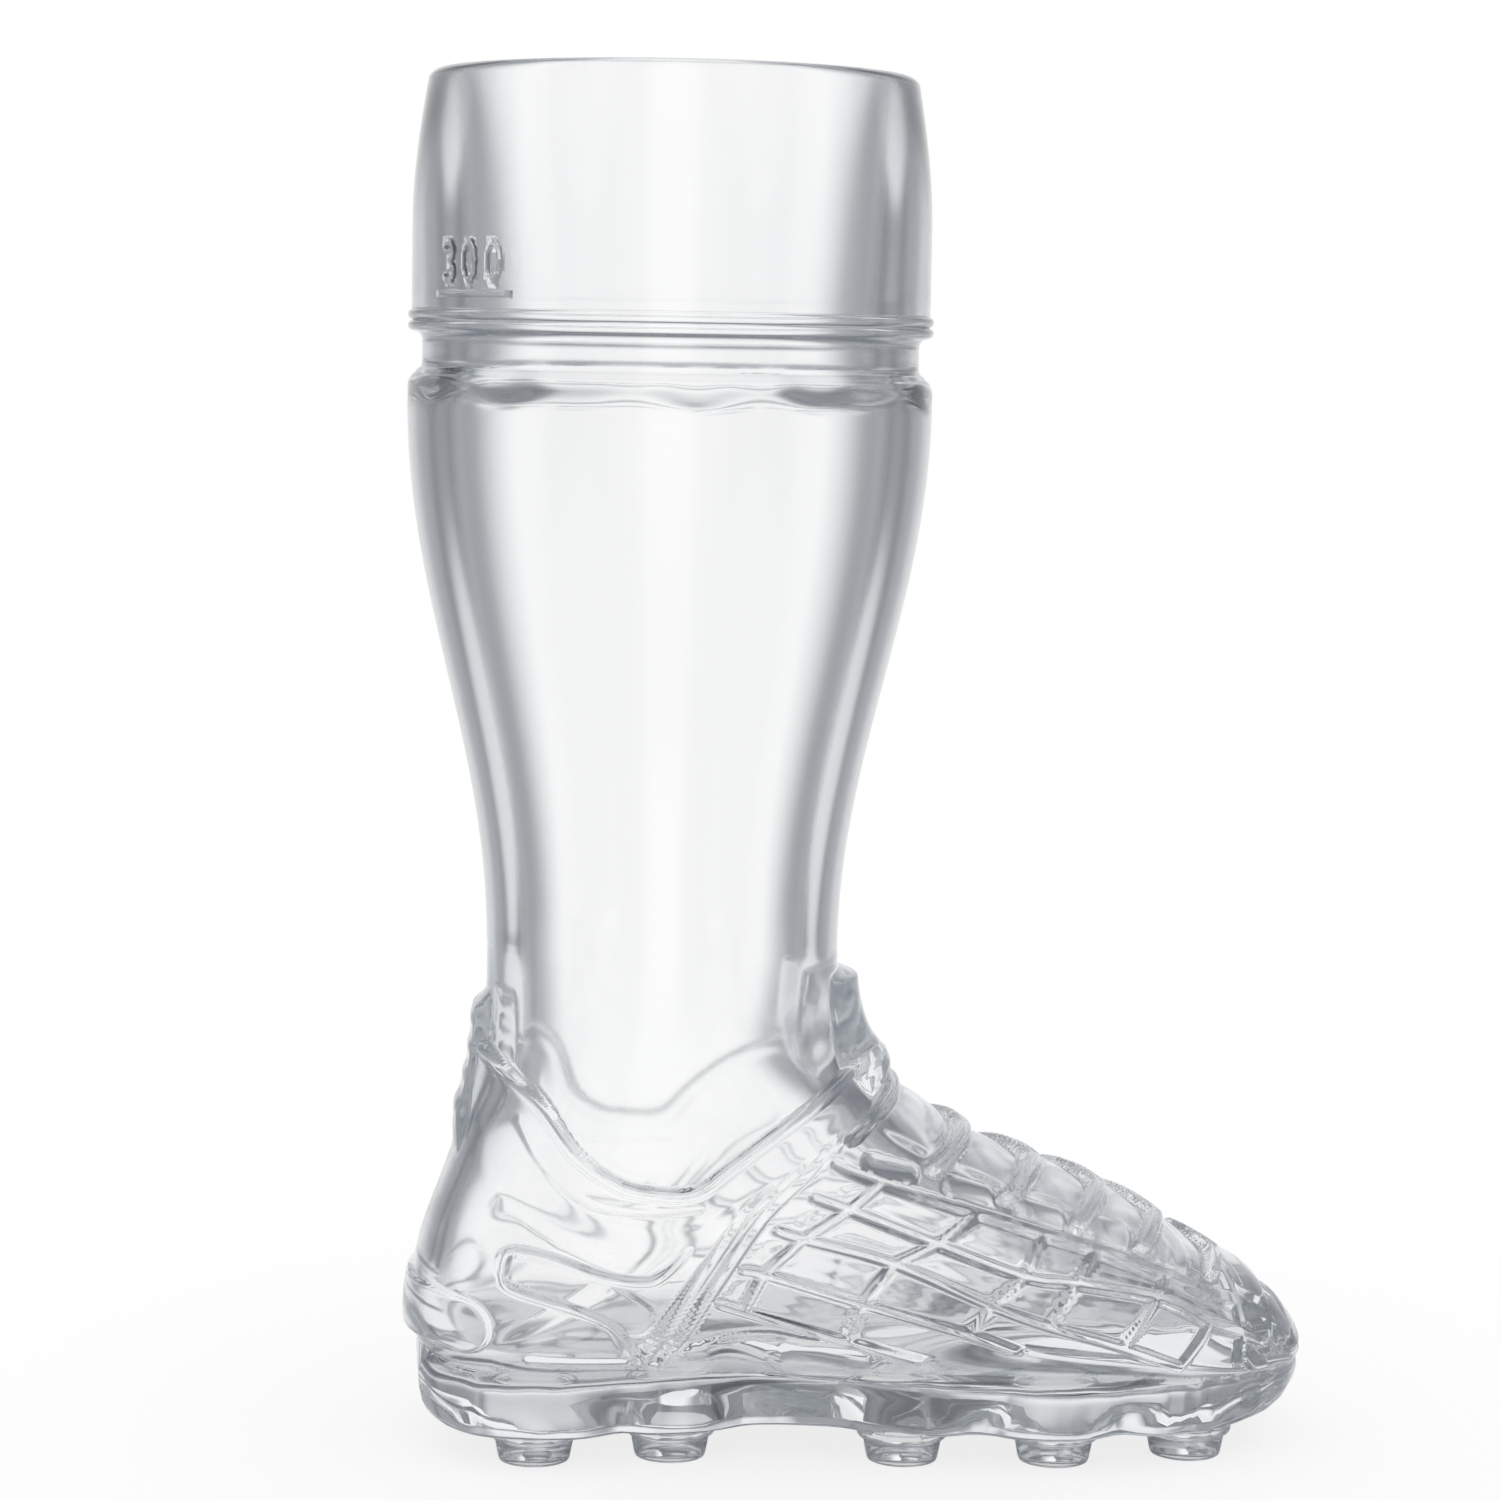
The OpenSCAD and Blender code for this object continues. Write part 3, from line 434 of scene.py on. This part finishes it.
def bore_r(z):
    return mix(THROAT_R, MOUTH_R, (z - BAND_Z) / (TOP_Z - BAND_Z))


def throat_r(z):
    return THROAT_R + 0 * z


def arc(cx, cz, rx, rz, a0, a1, steps):
    a = np.radians(np.linspace(a0, a1, steps + 1))
    return np.stack([cx + rx * np.cos(a), cz + rz * np.sin(a)], 1)


def column(radius, z0, z1, steps):
    z = np.linspace(z0, z1, steps + 1)
    return np.stack([radius(z), z], 1)


def turned(profile, angle):
    """Rings of a profile turned round the leg's axis."""
    profile = np.asarray(profile)
    return np.stack([profile[:, :1] * np.cos(angle), profile[:, :1] * np.sin(angle),
                     np.repeat(profile[:, 1:], len(angle), 1)], -1)


def cap(ring, way, reach, scales):
    """Rings that close a tube: each is drawn in to the middle and pushed on along the tube."""
    middle = (ring.max(0) + ring.min(0)) / 2
    return [mix(middle, ring, s) + np.array(way) * reach * math.sqrt(1 - s * s) for s in scales]


def leg_profile():
    """Radius and height from the ankle up the outside, over the lip and down to the throat."""
    lip_z = TOP_Z - LIP_H
    lip_out, lip_in = float(band_r(lip_z)), float(bore_r(lip_z))
    return np.concatenate([
        column(leg_r, ANKLE_Z + 0.8, LEG_TOP - 2.2, 46),
        # Shoulder of the calf, the groove over it, and the double bead
        arc(34.9, LEG_TOP - 2.2, 1.9, 2.2, 0, 62, 6)[1:],
        arc(36.0, 152.7, 1.2, 1.1, 245, 180, 5),
        arc(36.0, 155.8, 1.2, 1.1, 180, 100, 6),
        arc(36.05, 157.75, 0.75, 0.75, -80, 80, 8),
        arc(36.05, 159.25, 0.75, 0.75, -80, 75, 8),
        column(band_r, BAND_Z + 0.15, lip_z, 26),
        arc((lip_out + lip_in) / 2, lip_z, (lip_out - lip_in) / 2, LIP_H, 0, 180, 14)[1:],
        column(bore_r, lip_z - 1.5, BAND_Z, 14),
        column(throat_r, BAND_Z - 2, 152.2, 4),
    ])


def glass_rings():
    # Points round the tube, closer together at the boot's sides, where most of the relief is
    angle = np.arange(AROUND) / AROUND * 2 * np.pi
    angle = angle + 0.2 * np.sin(2 * angle)
    toward_rim = np.concatenate([np.linspace(LAST_CUT, TOE_CUT, TOE_RINGS),
                                 np.linspace(TOE_CUT, 0, HEEL_RINGS)[1:]])
    skin = skin_with_relief(toward_rim[::-1], angle)[::-1]
    hollow = foot_hollow(np.linspace(0, HOLLOW_CUT, HOLLOW_RINGS), angle)
    # The shoulder inside the neck is a little wavy
    bore_top, bore_low = 147.1, ANKLE_Z + 1.5
    throat_z = np.linspace(151.2, bore_top, 9)
    throat = mix(THROAT_R, float(leg_bore_r(bore_top)), smooth((LEG_TOP - throat_z) / 4.4))
    neck = turned(np.stack([throat, throat_z], 1), angle)
    waves = 0.45 * np.sin(9 * angle) + 0.3 * np.sin(14 * angle + 1)
    neck[..., 2] += waves[None, :] * np.sin(np.linspace(0, np.pi, len(throat)))[:, None]
    inside = column(leg_bore_r, bore_top - 1.3, bore_low, 34)
    toe_tip = cap(skin[0], (1, 0, 0), 0.64, (0.25, 0.6, 0.87))
    hollow_tip = cap(hollow[-1], (0.93, 0, -0.37), 2.2, (0.95, 0.8, 0.55, 0.25))
    return [*toe_tip, *skin, *turned(leg_profile(), angle), *neck, *turned(inside, angle),
            *hollow, *hollow_tip]


def tube_mesh(name, rings):
    n = rings[0].shape[0]
    verts = np.concatenate([*rings, [rings[0].mean(0)], [rings[-1].mean(0)]])
    verts = (verts + [LEG_X, 0, 0]) / 1000
    i = np.arange(n)
    j = (i + 1) % n
    faces = []
    for a in range(0, (len(rings) - 1) * n, n):
        faces += np.stack([a + i, a + j, a + n + j, a + n + i], 1).tolist()
    first, last, end = len(rings) * n, len(rings) * n + 1, (len(rings) - 1) * n
    faces += [[first, int(q), int(p)] for p, q in zip(i, j)]
    faces += [[last, int(p) + end, int(q) + end] for p, q in zip(i, j)]
    mesh = bpy.data.meshes.new(name)
    mesh.from_pydata(verts.tolist(), [], faces)
    obj = bpy.data.objects.new(name, mesh)
    bpy.context.collection.objects.link(obj)
    clean(obj)
    return obj


def clean(obj):
    """Merge points that lie together and turn all faces outward."""
    bm = bmesh.new()
    bm.from_mesh(obj.data)
    bmesh.ops.remove_doubles(bm, verts=bm.verts, dist=2e-6)
    bmesh.ops.dissolve_degenerate(bm, edges=bm.edges, dist=1e-6)
    bmesh.ops.recalc_face_normals(bm, faces=bm.faces)
    bm.to_mesh(obj.data)
    bm.free()


# Each pair of studs, as its shares of the foot's length and of half the ball's width
STUDS = [[0.139, 0.52], [0.287, 0.48], [0.538, 0.60], [0.703, 0.65], [0.853, 0.56]]
# One stud's radius and height, from the table up into the sole
STUD = [
    [2.5, 0], [4.5, 0], [4.88, 0.12], [5.03, 0.5], [5.5, 3.0], [5.75, 3.3], [6.2, 3.5], [6.4, 3.8],
    [6.4, 4.3], [6.2, 4.9], [4, 5.4],
]
# Half the sole's outline, as shares of its length and of half the ball's width
SOLE = [
    [0.00, 0.30], [0.02, 0.58], [0.07, 0.78], [0.16, 0.85], [0.28, 0.76], [0.38, 0.70],
    [0.50, 0.80], [0.62, 0.95], [0.72, 1.00], [0.82, 0.93], [0.90, 0.78], [0.96, 0.55],
    [0.992, 0.26],
]
# How far each of the sole's rings is drawn in from its outline, and its height
SOLE_RINGS = [
    (4.5, 4.5), (3.1, 4.5), (2.0, 4.75), (1.2, 5.4), (0.6, 6.6), (0.15, 8.6), (0, 10.2),
    (0.1, 11.4), (0.5, 12.4), (1.2, 12.9), (2.4, 13.05), (6, 13.0),
]


def sole_rings():
    """Rings of the sole, which swells round each stud and ripples a little along its side."""
    s = through(SOLE, np.linspace(0, len(SOLE) - 1, 97))
    half = np.stack([mix(-HEEL, TOE, s[:, 0]), s[:, 1] * BALL_W / 2], 1)
    x, y = np.concatenate([half, half[::-1] * [1, -1]]).T
    middle, reach = (TOE - HEEL) / 2, (TOE + HEEL) / 2
    stud_x = [mix(-HEEL, TOE, along) for along, _ in STUDS]
    pods = sum(np.exp(-((x - at) / 7.5) ** 4) for at in stud_x)
    between = (1 - np.minimum(pods, 1)) * (x > stud_x[0]) * (x < stud_x[-1])
    toe_end = smooth((x - 76) / 14)
    ripple = 0.16 * np.sin(x / 1.7) + 0.12 * np.sin(x / 0.93 + 2)
    rings = []
    for inset, z in SOLE_RINGS:
        low = max(0.0, (11 - z) / 6.5)
        if inset < 6:
            inset = inset + 1.2 * low * between + 1.6 * low**2 * toe_end + ripple * (z > 6)
        z = z + 0.5 * low * between
        ring_x = middle + (x - middle) * (reach - inset) / reach
        ring_y = y * (BALL_W / 2 - inset) / (BALL_W / 2)
        rings.append(np.stack([tucked(ring_x, z), ring_y, z], 1))
    return rings


def studs():
    around = np.arange(48) / 48 * 2 * np.pi
    return [tube_mesh("stud", list(turned(STUD, around)
                                   + [mix(-HEEL, TOE, along), s * across * BALL_W / 2, 0]))
            for along, across in STUDS for s in (-1, 1)]


def join(objects):
    with bpy.context.temp_override(active_object=objects[0], selected_editable_objects=objects):
        bpy.ops.object.join()
    return objects[0]


def fuse(obj, *others):
    for other in others:
        m = obj.modifiers.new("union", "BOOLEAN")
        m.operation, m.solver, m.object = "UNION", "MANIFOLD", other
    fused = obj.evaluated_get(bpy.context.evaluated_depsgraph_get())
    made = bpy.data.meshes.new_from_object(fused)
    obj.modifiers.clear()
    obj.data = made
    for other in others:
        bpy.data.objects.remove(other)


def mark(name):
    """A copy of the frame's mark, set a little deeper so that it is one with the glass."""
    made = frame["nodes"][name].copy()
    made.data = made.data.copy()
    made.parent = None
    made.data.transform(frame["nodes"][name].matrix_world)
    made.matrix_world = Matrix()
    bpy.context.collection.objects.link(made)
    clean(made)
    for v in made.data.vertices:
        away = Vector((v.co.x - LEG_X / 1000, v.co.y, 0))
        v.co -= away.normalized() * MARK_SEAT
    return made


glass = tube_mesh("boot_glass", glass_rings())
fuse(glass, tube_mesh("sole", sole_rings()), join(studs()),
     join([mark("fill_line"), mark("fill_number")]))
glass.data.shade_smooth()
glass.data.set_sharp_from_angle(angle=math.radians(38))


# ---- materials ----
class Shading:
    """A node tree, with short ways to add nodes; a value is a number, a colour or an output."""

    def __init__(self, tree):
        self.nodes, self.links = tree.nodes, tree.links

    def put(self, socket, value):
        if isinstance(value, bpy.types.NodeSocket):
            self.links.new(value, socket)
        else:
            socket.default_value = value

    def add(self, kind, inputs=(), **settings):
        made = self.nodes.new("ShaderNode" + kind)
        for key, value in settings.items():
            setattr(made, key, value)
        for key, value in dict(inputs).items():
            self.put(made.inputs[key], value)
        return made.outputs

    def calc(self, operation, *values, clamp=False):
        return self.add("Math", enumerate(values), operation=operation, use_clamp=clamp)[0]

    def step(self, value, low, high):
        """A soft step that is 0 up to low and 1 from high on."""
        return self.add("MapRange", {"Value": value, "From Min": low, "From Max": high},
                        interpolation_type="SMOOTHSTEP")["Result"]

    def blend(self, share, a, b):
        """From colour a, where the share is 0, to colour b, where it is 1."""
        return self.add("Mix", {"Factor": share, "A": a, "B": b}, data_type="RGBA")["Result"]


WHITE = (1.0, 1.0, 1.0, 1)


def material(name, **inputs):
    m = bpy.data.materials.new(name)
    m.use_nodes = True
    shader = m.node_tree.nodes["Principled BSDF"]
    for key, value in inputs.items():
        shader.inputs[key.replace("_", " ")].default_value = value
    return m, Shading(m.node_tree), shader, m.node_tree.nodes["Material Output"].inputs


def clear_glass():
    m, tree, shader, shown = material("clear_glass", IOR=1.5, Transmission_Weight=1.0)
    # Polished outside, and a little uneven where light leaves the glass again, as on the inside
    # of a mould blown hollow
    leaving = tree.calc("MULTIPLY", tree.add("NewGeometry")["Backfacing"], 0.11)
    tree.put(shader.inputs["Roughness"], leaving)
    # Painted shade: the glass's colour turns grey where it is seen at a slant, so that its edges
    # look darker, as thick pressed glass does there
    slant = tree.add("LayerWeight", {"Blend": 0.5})["Facing"]
    painted_edge_shade = tree.blend(tree.step(slant, 0.2, 0.75), WHITE, (0.62, 0.65, 0.69, 1))
    tree.put(shader.inputs["Base Color"], painted_edge_shade)
    absorb = tree.add("VolumeAbsorption", {"Color": (0.62, 0.68, 0.74, 1), "Density": 6.0})
    tree.put(shown["Volume"], absorb["Volume"])
    return m


glass.data.materials.clear()
glass.data.materials.append(clear_glass())
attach(glass, "root")
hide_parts(*frame["nodes"])


# ---- stage, light and camera ----
# Turn of the camera and of the bright panels round the boot, so that its toe points a little away
PANEL_TURN = 4.74
FLOOR_R, FADE_FROM, FADE_TO = 0.18, 0.075, 0.17
# How much of the table's own light the camera sees directly and through glass
SHOWN_GLOW, GLASS_GLOW = 0.8, 0.65


def floor():
    """A round table top whose rim fades into the white of the studio."""
    mesh = bpy.data.meshes.new("floor")
    turn = np.arange(96) / 96 * 2 * np.pi
    rim = np.stack([FLOOR_R * np.cos(turn), FLOOR_R * np.sin(turn), 0 * turn], 1)
    mesh.from_pydata(rim.tolist(), [], [tuple(range(len(rim)))])
    obj = bpy.data.objects.new("floor", mesh)
    bpy.context.collection.objects.link(obj)
    m, tree, shader, shown = material("floor", Base_Color=(0.95, 0.95, 0.955, 1), Roughness=1.0,
                                      Specular_IOR_Level=0.0)
    # A light table: the camera sees it lit from below, with the boot's shadow faint on it
    path = tree.add("LightPath")
    through_glass = tree.calc("MULTIPLY", path["Is Transmission Ray"], GLASS_GLOW)
    share = tree.calc("MULTIPLY_ADD", path["Is Camera Ray"], SHOWN_GLOW, through_glass)
    lit = tree.add("MixShader", {0: share, 1: shader.outputs[0], 2: tree.add("Emission")[0]})[0]
    away = tree.add("VectorMath", {0: tree.add("NewGeometry")["Position"]}, operation="LENGTH")
    fade = tree.step(away["Value"], FADE_FROM, FADE_TO)
    both = tree.add("MixShader", {0: fade, 1: lit, 2: tree.add("BsdfTransparent")[0]})[0]
    tree.put(shown["Surface"], both)
    mesh.materials.append(m)
    return obj


def world():
    w = bpy.data.worlds.new("studio")
    bpy.context.scene.world = w
    w.use_nodes = True
    w.node_tree.nodes.clear()
    tree = Shading(w.node_tree)
    calc, step = tree.calc, tree.step
    way = tree.add("SeparateXYZ", {0: tree.add("TexCoord")["Generated"]})
    turn = calc("ARCTAN2", way["Y"], way["X"])
    fold = calc("COSINE", calc("MULTIPLY_ADD", turn, 4.0, math.radians(4 * PANEL_TURN)))
    # Four tall white panels, the first straight behind the boot, with a narrow one between each
    # two that only reaches full white, and widens, low down
    down = calc("MULTIPLY", way["Z"], -1.0)
    between = calc("MULTIPLY_ADD", step(down, 0.16, 0.3), 0.4, calc("MULTIPLY", fold, -1.0))
    narrow = calc("MULTIPLY", step(between, 0.86, 0.985),
                  calc("MULTIPLY_ADD", step(down, 0.11, 0.17), 0.7, 0.15))
    wide = calc("MULTIPLY_ADD", step(fold, 0.25, 0.85), 0.75,
                calc("MULTIPLY", step(fold, -0.8, -0.35), 0.25))
    high = calc("MULTIPLY_ADD", way["Z"], -2.2, 1.45, clamp=True)
    lit = calc("MULTIPLY", calc("ADD", wide, narrow), high)
    show = tree.blend(lit, (0.17, 0.185, 0.21, 1), WHITE)
    # What glass mirrors is a paler, softer version of the same room
    paler = calc("MULTIPLY_ADD", fold, 0.6, 0.9, clamp=True)
    mirrored = tree.blend(paler, (0.42, 0.44, 0.47, 1), WHITE)
    path = tree.add("LightPath")
    passed = tree.blend(path["Is Transmission Ray"], WHITE, show)
    glossy = calc("MULTIPLY", path["Is Glossy Ray"],
                  calc("SUBTRACT", 1.0, path["Is Transmission Ray"]))
    back = tree.add("Background", {"Color": tree.blend(glossy, passed, mirrored)})[0]
    tree.add("OutputWorld", {"Surface": back})


def camera():
    """The photo's camera: where it stands from the leg's axis, and how it is turned there."""
    place_m, swing, tilt, roll = (0, -0.5402, 0.157), -1.28, 90 - 6.17, 1.0
    cam = bpy.data.cameras.new("camera")
    cam.sensor_width, cam.lens = 36, 91.9
    cam.clip_start, cam.clip_end = 0.01, 50
    obj = bpy.data.objects.new("camera", cam)
    bpy.context.collection.objects.link(obj)
    aside = Matrix.Rotation(math.radians(-PANEL_TURN), 3, "Z")
    obj.location = aside @ Vector(place_m) + Vector((LEG_X / 1000, 0, 0))
    obj.rotation_euler = (aside @ Matrix.Rotation(math.radians(swing), 3, "Z")
                          @ Matrix.Rotation(math.radians(tilt), 3, "X")
                          @ Matrix.Rotation(math.radians(roll), 3, "Z")).to_euler()
    bpy.context.scene.camera = obj


floor()
world()
camera()
scene = bpy.context.scene
scene.view_settings.view_transform = "Standard"
scene.cycles.max_bounces = 32
scene.cycles.transmission_bounces = 32
scene.cycles.glossy_bounces = 16
